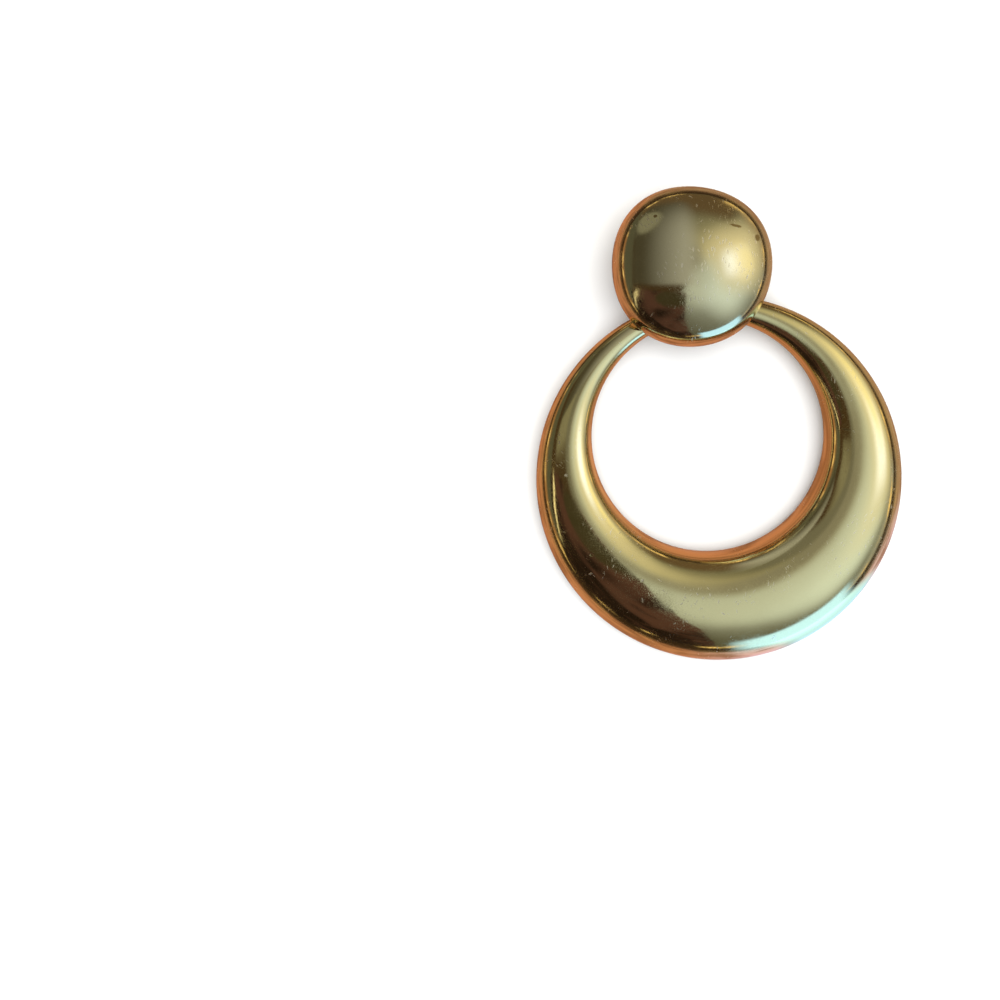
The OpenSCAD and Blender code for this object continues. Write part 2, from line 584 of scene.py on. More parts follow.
def make_worn_polish():
    group, given, out = open_group(
        "worn_polish",
        [
            ("Vector", "NodeSocketVector", (0, 0, 0)),
            ("Wave scale", "NodeSocketFloat", 160.0),
            ("Haze scale", "NodeSocketFloat", 260.0),
            ("Grain scale", "NodeSocketFloat", 9000.0),
            ("Pit scale", "NodeSocketFloat", 420.0),
            ("Pit share", "NodeSocketFloat", 0.1),
        ],
        [
            ("Waves", "NodeSocketFloat"),
            ("Haze", "NodeSocketFloat"),
            ("Grain", "NodeSocketFloat"),
            ("Pits", "NodeSocketFloat"),
        ],
    )
    vector = given.outputs["Vector"]

    def noise(scale_name, detail):
        scale = given.outputs[scale_name]
        node = add(group, "ShaderNodeTexNoise", Vector=vector, Scale=scale, Detail=detail)
        return node.outputs[0]

    waves = noise("Wave scale", 1.0)
    haze = noise("Haze scale", 5.0)
    grain = noise("Grain scale", 0.0)
    cells = add(group, "ShaderNodeTexVoronoi", Vector=vector, Scale=given.outputs["Pit scale"])
    pick = add(group, "ShaderNodeSeparateColor", Color=cells.outputs["Color"])
    there = math_node(group, "LESS_THAN", pick.outputs[0], given.outputs["Pit share"])
    dot = remap(group, cells.outputs["Distance"], *PIT_EDGE)
    group.links.new(waves, out.inputs["Waves"])
    group.links.new(remap(group, haze, *HAZE_STEP), out.inputs["Haze"])
    group.links.new(remap(group, grain, *GRAIN_STEP), out.inputs["Grain"])
    group.links.new(math_node(group, "MULTIPLY", dot, there), out.inputs["Pits"])
    return group


worn_polish = make_worn_polish()
print("group:", worn_polish.name)

# %% [markdown]
# A few marks have a place of their own: brown stains where the plating has gone, small nicks that
# catch the light, and patches that have been rubbed more than the rest. The nicks are dents and are
# painted pale, a painted glint, like the scratches; the rubbed patches lie where the highlights fall,
# so the pale dashes in them add painted glints there. They could be painted on an image, but then the
# finish would hang on a file and a UV map. Here each is an ellipse seen from above, with its edge
# frayed by noise.

# %% A group for single marks
FRAY_SCALE = 3000.0
FRAY_REACH = 0.9
MARK_EDGE = (1.5, 1.1)


def make_single_mark():
    group, given, out = open_group(
        "single_mark",
        [
            ("Vector", "NodeSocketVector", (0, 0, 0)),
            ("Centre", "NodeSocketVector", (0, 0, 0)),
            ("Scale", "NodeSocketVector", (1000, 1000, 0)),
            ("Turn", "NodeSocketFloat", 0.0),
        ],
        [("Mask", "NodeSocketFloat")],
    )
    moved = add(
        group, "ShaderNodeVectorMath", {"operation": "SUBTRACT"},
        i0=given.outputs["Vector"], i1=given.outputs["Centre"],
    )
    turned = add(
        group, "ShaderNodeVectorRotate", {"rotation_type": "Z_AXIS"},
        Vector=moved.outputs[0], Angle=given.outputs["Turn"],
    )
    scaled = add(
        group, "ShaderNodeVectorMath", {"operation": "MULTIPLY"},
        i0=turned.outputs[0], i1=given.outputs["Scale"],
    )
    reach = add(group, "ShaderNodeVectorMath", {"operation": "LENGTH"}, i0=scaled.outputs[0])
    vector = given.outputs["Vector"]
    noise = add(group, "ShaderNodeTexNoise", Vector=vector, Scale=FRAY_SCALE, Detail=2.0)
    fray = math_node(group, "MULTIPLY", noise.outputs[0], FRAY_REACH)
    ragged = math_node(group, "ADD", reach.outputs["Value"], fray)
    group.links.new(remap(group, ragged, *MARK_EDGE), out.inputs["Mask"])
    return group


single_mark = make_single_mark()
print("group:", single_mark.name)

# %% [markdown]
# Plating is never quite even: it is a touch warmer where it is thin and worn, at the steep rims, and
# a touch greyer on the wiped tops. The warmer rims are partly that wear and partly a painted
# reflection of the warm table, which the steep rims face. The rims are found by the normal: the
# nearer it is to level, the steeper the surface. A slow noise breaks that up so that no edge looks
# drawn.

# %% A group for the plating's tone, with a painted rim reflection
RIM_STEP = (0.75, 0.25)
TONE_SCALE = 190.0
TONE_STEP = (0.2, 0.6, 0.55, 1.0)


def make_plating_and_rim_reflection():
    group, given, out = open_group(
        "plating_and_rim_reflection",
        [
            ("Vector", "NodeSocketVector", (0, 0, 0)),
            ("Normal", "NodeSocketVector", (0, 0, 1)),
            ("Plating", "NodeSocketColor", (0.86, 0.79, 0.5, 1)),
            ("Worn", "NodeSocketColor", (0.9, 0.6, 0.3, 1)),
            ("Wear", "NodeSocketFloat", 0.5),
        ],
        [("Color", "NodeSocketColor")],
    )
    parts = add(group, "ShaderNodeSeparateXYZ", Vector=given.outputs["Normal"])
    up = math_node(group, "ABSOLUTE", parts.outputs[2])
    rim = remap(group, up, *RIM_STEP)
    vector = given.outputs["Vector"]
    cloud = add(group, "ShaderNodeTexNoise", Vector=vector, Scale=TONE_SCALE, Detail=3.0)
    broken = remap(group, cloud.outputs[0], *TONE_STEP)
    worn = math_node(group, "MULTIPLY", rim, broken)
    share = math_node(group, "MULTIPLY", worn, given.outputs["Wear"])
    # Steep rims turn warmer: partly worn plating, partly a painted reflection of the warm table.
    tone = mix_colour(group, share, given.outputs["Plating"], given.outputs["Worn"])
    group.links.new(tone, out.inputs["Color"])
    return group


plating_and_rim_reflection = make_plating_and_rim_reflection()
print("group:", plating_and_rim_reflection.name)

# %% [markdown]
# A mask says where a mark is. Adding masks would count a place twice where two marks cross, so the
# stronger one is taken there. Scratches come from wiping, which is never the same all over. So the
# dashes of a few directions are joined, and then kept only where a broad noise or a rubbed patch lets
# them show.

# %% Joining marks and scratches
RUB_SCALE = 300.0


def place_group(tree, group, **inputs):
    return add(tree, "ShaderNodeGroup", {"node_tree": group}, **inputs)


def add_marks(tree, vector, mask, marks):
    """Adds single marks to a mask."""
    for mark in marks:
        shape = place_group(tree, single_mark, Vector=vector, **mark).outputs[0]
        mask = math_node(tree, "MAXIMUM", mask, shape)
    return mask


def rubbed_scratches(tree, vector, look):
    """Dashes in a few directions, kept where the metal has been rubbed."""
    dashes = []
    for turn, along, across, share in look["scratches"]:
        dash = place_group(
            tree, scratches, Vector=vector, Turn=turn, Squeeze_along=along,
            Squeeze_across=across, Share=share,
        )
        dashes.append(dash.outputs[0])
    scratched = dashes[0]
    for dash in dashes[1:]:
        scratched = math_node(tree, "MAXIMUM", scratched, dash)
    cloud = add(tree, "ShaderNodeTexNoise", Vector=vector, Scale=RUB_SCALE, Detail=1.0)
    rubbed = remap(tree, cloud.outputs[0], *look["rubbed"])
    rubbed = add_marks(tree, vector, rubbed, look["rubs"])
    return math_node(tree, "MULTIPLY", scratched, rubbed)


print("marks and scratches ready")

# %% [markdown]
# Each piece gets a material of its own from those groups. The shader is a plain Principled one, fully
# metallic: the colour of gold is the colour of its mirror image, so Base Color does the work.
# Roughness follows the haze and the scratches, and one Bump node takes waves, scratches and pits.
# Scratches and nicks are also painted a paler gold: the marks are real, and their paleness is a
# painted glint.

# %% The gold material
# The warm rim colour below stands partly for worn plating and partly for a painted reflection of the
# warm table.
WORN_AND_REFLECTED_RIM_GOLD = (0.9, 0.6, 0.3, 1)
PIT_BROWN = (0.36, 0.27, 0.12, 1)
# The paler gold below is for scratches and nicks: real marks, whose paleness is a painted glint.
BARE_METAL_AND_GLINT = (1.0, 0.94, 0.74, 1)
STAIN_ROUGH = 0.25


def make_gold(name, look):
    """A worn gold plating; look gives its strengths and its marks."""
    material = bpy.data.materials.new(name)
    material.use_nodes = True
    tree = material.node_tree
    shader = tree.nodes["Principled BSDF"]
    shader.inputs["Metallic"].default_value = 1.0
    place = add(tree, "ShaderNodeTexCoord")
    vector = place.outputs["Object"]
    polish = place_group(tree, worn_polish, Vector=vector, Pit_share=look["pits"])
    tone = place_group(
        tree, plating_and_rim_reflection, Vector=vector, Normal=place.outputs["Normal"],
        Plating=look["plating"], Worn=WORN_AND_REFLECTED_RIM_GOLD, Wear=look["wear"],
    )
    scratched = add_marks(tree, vector, rubbed_scratches(tree, vector, look), look["glinting_nicks"])
    stain = add_marks(tree, vector, polish.outputs["Pits"], look["stains"])
    roughness = look["polish"]
    for mask, strength in (
        (polish.outputs["Haze"], look["haze"]),
        (polish.outputs["Grain"], look["grain"]),
        (scratched, look["scratch_rough"]),
        (stain, STAIN_ROUGH),
    ):
        rougher = math_node(tree, "MULTIPLY", mask, strength)
        roughness = math_node(tree, "ADD", rougher, roughness)
    tree.links.new(roughness, shader.inputs["Roughness"])
    # Scratches and nicks are painted paler: a painted glint on real marks.
    scuffed_and_glinting = mix_colour(tree, scratched, tone.outputs["Color"], BARE_METAL_AND_GLINT)
    tree.links.new(mix_colour(tree, stain, scuffed_and_glinting, PIT_BROWN), shader.inputs["Base Color"])
    waves = math_node(tree, "MULTIPLY", polish.outputs["Waves"], look["waves"])
    cut = math_node(tree, "MULTIPLY", scratched, look["scratch_depth"])
    pit = math_node(tree, "MULTIPLY", polish.outputs["Pits"], look["pit_depth"])
    height = math_node(tree, "SUBTRACT", math_node(tree, "SUBTRACT", waves, cut), pit)
    bump = add(tree, "ShaderNodeBump", Height=height)
    bump.inputs["Strength"].default_value = 1.0
    bump.inputs["Distance"].default_value = 1 * MM
    tree.links.new(bump.outputs[0], shader.inputs["Normal"])
    return material


print("gold material ready")

# %% [markdown]
# The three pieces differ in numbers alone, so their looks are lists of numbers. The crescent's
# plating is the palest. The button's is duller and the most scratched, since it is pressed each time
# the clip is opened, and it has three brown stains. The clip was never polished as finely.

# %% The looks of the three pieces
PALE_GOLD = (0.88, 0.8, 0.46, 1)
DULLER_GOLD = (0.78, 0.72, 0.46, 1)
PLAIN_GOLD = (0.78, 0.68, 0.42, 1)
UPRIGHT = math.radians(9)
DASH_SPREAD = 0.3


def spot(x, y, along, across, turn=0.0):
    """Where a single mark is, from above, with its half length and half width, in mm."""
    return {
        "Centre": (x * MM, y * MM, 0),
        "Scale": (1 / (along * MM), 1 / (across * MM), 0),
        "Turn": math.radians(turn),
    }


gold_looks = {
    "crescent_gold": {
        "plating": PALE_GOLD, "wear": 0.45, "polish": 0.06, "haze": 0.07, "grain": 0.1,
        "waves": 0.05, "pits": 0.02, "pit_depth": 0.03,
        "scratch_rough": 0.4, "scratch_depth": 0.003,
        "scratches": [
            # turn, squeeze along, squeeze across, share of the cells
            (UPRIGHT, 900, 3000, 0.3),
            (math.radians(50), 1100, 3000, 0.3),
            (math.radians(-40), 1000, 3000, 0.3),
        ],
        "stains": [spot(15.3, -2.7, 0.5, 0.15, 20)],
        "glinting_nicks": [spot(-18.2, -3.0, 0.25, 0.2), spot(-17.1, -14.9, 0.25, 0.2)],
        "rubs": [
            spot(-12, -15, 5, 2.5, 45), spot(-3, -20, 5, 2.5, 10), spot(14, -16, 6, 2.5, -50),
        ],
        "rubbed": (0.5, 0.66),
    },
    "button_gold": {
        "plating": DULLER_GOLD, "wear": 0.45, "polish": 0.06, "haze": 0.05, "grain": 0.1,
        "waves": 0.05, "pits": 0.03, "pit_depth": 0.05,
        "scratch_rough": 0.4, "scratch_depth": 0.004,
        "scratches": [
            (UPRIGHT, 800, 2600, 0.6),
            (UPRIGHT + DASH_SPREAD, 700, 2400, 0.5),
            (UPRIGHT - DASH_SPREAD, 1000, 3000, 0.5),
        ],
        "stains": [
            spot(5.1, 22.3, 0.8, 0.2, 20), spot(7.5, 20.7, 0.35, 0.45), spot(-3.7, 24.8, 0.25, 0.2),
        ],
        "glinting_nicks": [],
        "rubs": [spot(2.8, 18.5, 6.5, 5.5)],
        "rubbed": (0.5, 0.66),
    },
    "clip_gold": {
        "plating": PLAIN_GOLD, "wear": 0.35, "polish": 0.2, "haze": 0.14, "grain": 0.1,
        "waves": 0.06, "pits": 0.03, "pit_depth": 0.03,
        "scratch_rough": 0.2, "scratch_depth": 0.01,
        "scratches": [
            (math.radians(10), 400, 8000, 0.35),
            (math.radians(80), 600, 9000, 0.2),
        ],
        "stains": [],
        "glinting_nicks": [],
        "rubs": [],
        "rubbed": (0.4, 0.6),
    },
}
for piece, name in ((crescent, "crescent_gold"), (dome, "button_gold"), (clip, "clip_gold")):
    piece.data.materials.clear()
    piece.data.materials.append(make_gold(name, gold_looks[name]))
    print(name, "on", piece.name)

# %% [markdown]
# A mirror has no look of its own: it shows the studio. So the studio is drawn with care, as a tent of
# light with cards in it, some soft and some nearly crisp. A card is a rectangle seen from the piece,
# at a bearing round it and a height over the table. Real planes with lamps could do this, but the
# world's shader gives soft edges for free, and nothing stands in the way of the camera.

# %% A group for one card of the light tent
LEAST_DEPTH = 0.01


def make_card_group():
    group, given, out = open_group(
        "studio_card",
        [
            ("Light", "NodeSocketColor", (0, 0, 0, 1)),
            ("Direction", "NodeSocketVector", (0, 0, 1)),
            ("Facing", "NodeSocketVector", (0, 0, 1)),
            ("Across", "NodeSocketVector", (1, 0, 0)),
            ("Upward", "NodeSocketVector", (0, 1, 0)),
            ("Half width", "NodeSocketFloat", 0.3),
            ("Half height", "NodeSocketFloat", 0.3),
            ("Softness", "NodeSocketFloat", 0.1),
            ("Glow", "NodeSocketColor", (1, 1, 1, 1)),
        ],
        [("Light", "NodeSocketColor")],
    )

    def along(axis):
        dot = add(
            group, "ShaderNodeVectorMath", {"operation": "DOT_PRODUCT"},
            i0=given.outputs["Direction"], i1=given.outputs[axis],
        )
        return dot.outputs["Value"]

    depth = along("Facing")
    kept = math_node(group, "MAXIMUM", depth, LEAST_DEPTH)
    mask = math_node(group, "GREATER_THAN", depth, LEAST_DEPTH)
    for axis, half in (("Across", "Half width"), ("Upward", "Half height")):
        reach = math_node(group, "ABSOLUTE", math_node(group, "DIVIDE", along(axis), kept))
        near = math_node(group, "SUBTRACT", given.outputs[half], given.outputs["Softness"])
        far = math_node(group, "ADD", given.outputs[half], given.outputs["Softness"])
        mask = math_node(group, "MULTIPLY", mask, remap(group, reach, far, near))
    lit = mix_colour(group, mask, given.outputs["Light"], given.outputs["Glow"])
    group.links.new(lit, out.inputs["Light"])
    return group


card_group = make_card_group()
print("group:", card_group.name)

# %% [markdown]
# Under the cards lies the tent's own light: one soft lobe, brightest high at the right, cooler
# towards the front and warmer towards the back, on a dim olive ground. The cards are laid over it in
# the list's order: two dim ones overhead, a broad warm light at the right with a white core, and dim
# ones low down all round. Just over the table runs a dark line with broken gold glints above it: it
# draws the thin lines along every rim. A cool card low at the front comes last, over that line, and
# edges the fat bottom in blue. The camera itself sees a plain pale backdrop.

# %% The light tent
TENT_DARK = (0.1, 0.095, 0.065, 1)
TENT_COOL = (0.63, 0.7, 0.73, 1)
TENT_WARM = (0.73, 0.66, 0.44, 1)
TENT_AXIS = Vector((0.5, -0.07, 0.87)).normalized()
TENT_POWER = 4.4
TENT_TURN = (-0.2, 0.35)
HORIZON_DARK = (0.045, 0.024, 0.012, 1)
HORIZON_EDGE = (0.18, 0.09)
GLINT_GOLD = (1.1, 0.75, 0.32, 1)
GLINT_RISE = (0.14, 0.18, 0.22, 0.28)
GLINT_SCALE = 5.0
GLINT_STEP = (0.5, 0.6)
BACKDROP = (0.86, 0.86, 0.86, 1)
TENT_CARDS = [
    # name, bearing, height, half width, half height, softness, glow
    ("pale overhead", -60, 72, 0.3, 0.24, 0.22, (0.56, 0.61, 0.6)),
    ("dim zenith", 95, 79, 0.24, 0.21, 0.14, (0.25, 0.235, 0.19)),
    ("pale front right", -30, 50, 0.35, 0.3, 0.25, (0.75, 0.86, 0.92)),
    ("warm right", 8, 40, 0.4, 0.42, 0.3, (0.85, 0.76, 0.54)),
    ("core", 2, 44, 0.16, 0.2, 0.14, (1.4, 1.5, 1.85)),
    ("low right", 14, 9, 0.5, 0.16, 0.1, (0.42, 0.31, 0.19)),
    ("low front", -26, 9, 0.36, 0.16, 0.1, (0.36, 0.36, 0.34)),
    ("back gap", 80, 22, 0.7, 0.26, 0.15, (0.13, 0.085, 0.045)),
    ("dark front left", -130, 7, 0.8, 0.2, 0.05, (0.03, 0.018, 0.012)),
    ("amber left", 170, 8, 0.6, 0.16, 0.1, (0.4, 0.19, 0.08)),
]
COOL_CARD = ("cool front", -65, 9, 0.33, 0.28, 0.06, (0.72, 1.24, 1.95))


def card_axes(bearing, height):
    """Where a card stands, and its own across and upward directions."""
    turn = math.radians(bearing)
    rise = math.radians(height)
    level = math.cos(rise)
    facing = Vector((math.cos(turn) * level, math.sin(turn) * level, math.sin(rise)))
    across = Vector((-math.sin(turn), math.cos(turn), 0))
    return facing, across, facing.cross(across)


def lay_card(tree, direction, light, card):
    """One card over the light so far."""
    name, bearing, height, half_width, half_height, softness, glow = card
    facing, across, upward = card_axes(bearing, height)
    laid = place_group(
        tree, card_group, Light=light, Direction=direction, Facing=facing, Across=across,
        Upward=upward, Half_width=half_width, Half_height=half_height, Softness=softness,
        Glow=(*glow, 1),
    )
    laid.label = name
    return laid.outputs["Light"]


def add_horizon(tree, direction, light):
    """A dark line just over the table, and broken gold glints over that."""
    rise = add(tree, "ShaderNodeSeparateXYZ", Vector=direction).outputs[2]
    cloud = add(tree, "ShaderNodeTexNoise", Vector=direction, Scale=GLINT_SCALE, Detail=2.0)
    there = remap(tree, cloud.outputs[0], *GLINT_STEP)
    foot, low, high, top = GLINT_RISE
    band = math_node(tree, "MULTIPLY", remap(tree, rise, foot, low), remap(tree, rise, top, high))
    light = mix_colour(tree, math_node(tree, "MULTIPLY", band, there), light, GLINT_GOLD)
    return mix_colour(tree, remap(tree, rise, *HORIZON_EDGE), light, HORIZON_DARK)


def make_tent():
    """The world's shader: the lobe, the cards and the line over the table."""
    world = bpy.data.worlds.new("light_tent")
    bpy.context.scene.world = world
    world.use_nodes = True
    tree = world.node_tree
    background = tree.nodes["Background"]
    direction = add(tree, "ShaderNodeTexCoord").outputs["Generated"]
    ahead = add(
        tree, "ShaderNodeVectorMath", {"operation": "DOT_PRODUCT"}, i0=direction, i1=TENT_AXIS,
    )
    lobe = math_node(tree, "MAXIMUM", ahead.outputs["Value"], 0.0)
    bright = math_node(tree, "POWER", lobe, TENT_POWER)
    back = add(tree, "ShaderNodeSeparateXYZ", Vector=direction).outputs[1]
    glow_colour = mix_colour(tree, remap(tree, back, *TENT_TURN), TENT_COOL, TENT_WARM)
    light = mix_colour(tree, bright, TENT_DARK, glow_colour)
    for card in TENT_CARDS:
        light = lay_card(tree, direction, light, card)
    light = add_horizon(tree, direction, light)
    light = lay_card(tree, direction, light, COOL_CARD)
    seen = add(tree, "ShaderNodeLightPath").outputs["Is Camera Ray"]
    tree.links.new(mix_colour(tree, seen, light, BACKDROP), background.inputs["Color"])


make_tent()
print(len(TENT_CARDS) + 1, "cards in the tent")

# %% [markdown]
# The table is plain and pale. Polished rims mirror it, and a pure white one would make them look
# like silver, so those who photograph gold lay it on a warm brown card. Here the mirrors alone see
# such a tone. One flat colour would be enough to warm the rims, but they are so rounded that they
# show the table from close by to far out, and would look painted. So it turns browner at the right
# and dark far out, has faint streaks, and is pink near the place where it gleams.

# %% The tone that mirrors see on the table
TABLE_WARM = (0.42, 0.185, 0.105, 1)
TABLE_RIGHT = (0.29, 0.18, 0.115, 1)
TABLE_FAR = (0.05, 0.024, 0.014, 1)
TABLE_STREAK = (0.2, 0.085, 0.045, 1)
TABLE_PINK = (0.6, 0.41, 0.56, 1)
TABLE_FADE = (7 * MM, 19 * MM)
TABLE_SLANT = 0.45
FAR_FADE = (45 * MM, 90 * MM)
STREAK_SCALE = 160.0
STREAK_STEP = (0.42, 0.62, 0.0, 0.8)
SHEEN_BEARING = math.radians(-64)
FAN_TIP = 1 * MM
PINK_FADE = (14 * MM, 24 * MM)
PINK_SPREAD = (0.9, 0.3)


def fan_mask(tree, place, fade, spread):
    """A fan on the table that opens from the middle towards the cool card."""
    settings = {"rotation_type": "Z_AXIS"}
    turned = add(tree, "ShaderNodeVectorRotate", settings, Vector=place, Angle=-SHEEN_BEARING)
    parts = add(tree, "ShaderNodeSeparateXYZ", Vector=turned.outputs[0])
    far = remap(tree, parts.outputs[0], *fade)
    reach = math_node(tree, "MAXIMUM", parts.outputs[0], FAN_TIP)
    aside = math_node(tree, "DIVIDE", math_node(tree, "ABSOLUTE", parts.outputs[1]), reach)
    return math_node(tree, "MULTIPLY", far, remap(tree, aside, *spread))


def mirrored_tone(tree, place):
    """Warm, browner at the right, pink near the gleam, with darker streaks, and dark far out."""
    parts = add(tree, "ShaderNodeSeparateXYZ", Vector=place)
    slanted = math_node(tree, "MULTIPLY", parts.outputs[1], TABLE_SLANT)
    right = math_node(tree, "ADD", parts.outputs[0], slanted)
    tone = mix_colour(tree, remap(tree, right, *TABLE_FADE), TABLE_WARM, TABLE_RIGHT)
    tone = mix_colour(tree, fan_mask(tree, place, PINK_FADE, PINK_SPREAD), tone, TABLE_PINK)
    cloud = add(tree, "ShaderNodeTexNoise", Vector=place, Scale=STREAK_SCALE, Detail=3.0)
    tone = mix_colour(tree, remap(tree, cloud.outputs[0], *STREAK_STEP), tone, TABLE_STREAK)
    reach = add(tree, "ShaderNodeVectorMath", {"operation": "LENGTH"}, i0=place).outputs["Value"]
    return mix_colour(tree, remap(tree, reach, *FAR_FADE), tone, TABLE_FAR)


print("mirrored tone ready")

# %% [markdown]
# The table is one big square, so the camera never sees its end from above. It has two shaders, which
# Light Path tells apart: the camera and the soft light meet the pale one, and the mirrors meet the
# warm one, which gleams where a real card would mirror the cool light. Two tables, each hidden from
# one kind of ray, could do the same, but would lie in each other. The gleam lights nothing else, so
# it isn't sampled as a lamp, which saves time.

# %% The table
TABLE_SIZE = 1.6
TABLE_WHITE = (0.87, 0.87, 0.87, 1)
TABLE_ROUGH = 1.0
TABLE_SHEEN = 0.25
SHEEN_FADE = (26 * MM, 30 * MM)
SHEEN_SPREAD = (0.34, 0.16)
SHEEN_COOL = (0.62, 1.1, 1.6, 1)
BLACK = (0, 0, 0, 1)


def make_table():
    """A pale table for the camera and the light, and a warm one for the mirrors."""
    half = TABLE_SIZE / 2
    corners = [(-half, -half, 0), (half, -half, 0), (half, half, 0), (-half, half, 0)]
    table = piece_from("table", corners, [(0, 1, 2, 3)])
    material = bpy.data.materials.new("pale_table")
    material.use_nodes = True
    tree = material.node_tree
    plain = tree.nodes["Principled BSDF"]
    plain.inputs["Base Color"].default_value = TABLE_WHITE
    plain.inputs["Roughness"].default_value = TABLE_ROUGH
    place = add(tree, "ShaderNodeTexCoord").outputs["Object"]
    sheen = fan_mask(tree, place, SHEEN_FADE, SHEEN_SPREAD)
    image = add(tree, "ShaderNodeBsdfPrincipled")
    image.inputs["Roughness"].default_value = TABLE_SHEEN
    image.inputs["Emission Strength"].default_value = 1.0
    base = mix_colour(tree, sheen, mirrored_tone(tree, place), BLACK)
    tree.links.new(base, image.inputs["Base Color"])
    tree.links.new(mix_colour(tree, sheen, BLACK, SHEEN_COOL), image.inputs["Emission Color"])
    mirrored = add(tree, "ShaderNodeLightPath").outputs["Is Glossy Ray"]
    both = add(tree, "ShaderNodeMixShader", i0=mirrored, i1=plain.outputs[0], i2=image.outputs[0])
    tree.links.new(both.outputs[0], tree.nodes["Material Output"].inputs["Surface"])
    material.cycles.emission_sampling = "NONE"
    table.data.materials.append(material)
    table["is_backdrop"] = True


make_table()
print("table in place")

# %% [markdown]
# The table still needs light. A sun or a small lamp would cast a hard shadow under the crescent. A
# wide square lamp overhead, as a softbox gives, leaves a faint soft one. It stays out of the mirrors,
# which have the tent's cards to show. The view transform is the plain one, because Filmic or AgX
# would turn the white table grey.

# %% The lamp over the table
LAMP_HEIGHT = 0.7
LAMP_SIZE = 0.9
LAMP_WATTS = 9.0


def make_lamp():
    data = bpy.data.lights.new("overhead_lamp", "AREA")
    data.size = LAMP_SIZE
    data.energy = LAMP_WATTS
    lamp = bpy.data.objects.new("overhead_lamp", data)
    lamp.location = (0, 0, LAMP_HEIGHT)
    lamp.visible_glossy = False
    bpy.context.scene.collection.objects.link(lamp)


make_lamp()
bpy.context.scene.view_settings.view_transform = "Standard"
print("lamp in place")

# %% [markdown]
# Five cards are so near that each part of the earring sees them in another place. They have to be
# real planes, since everything in the tent's shader is as far away as the sky. They glow by
# themselves, show in mirrors only and cast no shadow, and no lamp rays are spent on them either.
# Each has an outline, a height over the table, a colour and, if its edges are soft, a cover that
# fades it out. The first helper lays a round patch on a card, the second one makes a card.

# %% Helpers for the near cards
LOW_CARDS = 75 * MM
HIGH_CARD = 150 * MM
DOME_CARD = 35 * MM


def round_patch(tree, place, centre, radii, far, near):
    """A mask: 1 inside an ellipse on a card, 0 outside it."""
    moved = add(
        tree, "ShaderNodeVectorMath", {"operation": "SUBTRACT"}, i0=place, i1=(*centre, 0),
    )
    scaled = add(
        tree, "ShaderNodeVectorMath", {"operation": "MULTIPLY"},
        i0=moved.outputs[0], i1=(1 / radii[0], 1 / radii[1], 0),
    )
    reach = add(tree, "ShaderNodeVectorMath", {"operation": "LENGTH"}, i0=scaled.outputs[0])
    return remap(tree, reach.outputs["Value"], far, near)


def make_near_card(name, outline, height, colour, cover=None):
    """A glowing plane; colour is a plain colour or a function, and cover is a function."""
    corners = [(x * MM, y * MM, 0) for x, y in outline]
    card = piece_from(name, corners, [tuple(range(len(outline)))])
    card.location = (0, 0, height)
    card.rotation_euler = (0, 0, ROLL)
    material = bpy.data.materials.new(name + "_glow")
    material.use_nodes = True
    tree = material.node_tree
    shader = tree.nodes["Principled BSDF"]
    shader.inputs["Base Color"].default_value = BLACK
    shader.inputs["Specular IOR Level"].default_value = 0.0
    shader.inputs["Emission Strength"].default_value = 1.0
    place = add(tree, "ShaderNodeTexCoord").outputs["Object"]
    if callable(colour):
        tree.links.new(colour(tree, place), shader.inputs["Emission Color"])
    else:
        shader.inputs["Emission Color"].default_value = colour
    if cover:
        tree.links.new(cover(tree, place), shader.inputs["Alpha"])
    material.cycles.emission_sampling = "NONE"
    card.data.materials.append(material)
    card.visible_camera = False
    card.visible_diffuse = False
    card.visible_shadow = False
    card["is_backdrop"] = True
    print(f"{name}: {height / MM:.0f} mm over the table")


# %% [markdown]
# The brown card puts the deep dark shapes with crisp edges into the gold. A straight card would give
# the crescent a dark band of even width, so this one is cut to a curved edge, a little at a time,
# until the dark shapes sat right in the metal. Bent noise gives it a few soft folds.

# %% The brown card
BROWN_OUTLINE = (
    (-320, -240), (-110, -6), (-60, -6), (-5.5, -8), (-5.5, -30), (-4, -55), (4, -80), (10, -115),
    (19, -160), (40, -320), (-320, -320),
)
CARD_BROWN = (0.09, 0.042, 0.032, 1)
CARD_BLACK = (0.016, 0.009, 0.006, 1)
CARD_DISC = (0.05, 0.04, 0.02, 1)
BLACK_SLANT = -0.4
BLACK_FADE = (30 * MM, 110 * MM)
FOLD_SCALE = 22.0
FOLD_BEND = 1.2
FOLD_STEP = (0.35, 0.65, -0.5, 0.8)
BROWN_DISC = ((-25 * MM, -18 * MM), (22 * MM, 12 * MM), 1.1, 0.8)


def brown_colour(tree, place):
    """Brown, darker to the left with a few soft folds, and a darker round patch near the edge."""
    parts = add(tree, "ShaderNodeSeparateXYZ", Vector=place)
    slant = math_node(tree, "MULTIPLY", parts.outputs[1], BLACK_SLANT)
    left = remap(tree, math_node(tree, "SUBTRACT", slant, parts.outputs[0]), *BLACK_FADE)
    folds = add(
        tree, "ShaderNodeTexNoise", Vector=place, Scale=FOLD_SCALE, Detail=2.0, Distortion=FOLD_BEND,
    )
    fold = remap(tree, folds.outputs[0], *FOLD_STEP)
    shade = add(tree, "ShaderNodeClamp", Value=math_node(tree, "ADD", left, fold)).outputs[0]
    disc = round_patch(tree, place, *BROWN_DISC)
    return mix_colour(tree, disc, mix_colour(tree, shade, CARD_BROWN, CARD_BLACK), CARD_DISC)


make_near_card("brown_card", BROWN_OUTLINE, LOW_CARDS, brown_colour)

# %% [markdown]
# The olive card hangs twice as high, over the brown one and beyond it. It keeps the left of the gold
# dim without making it black, with an olive patch at the back and a paler right edge that fades out.

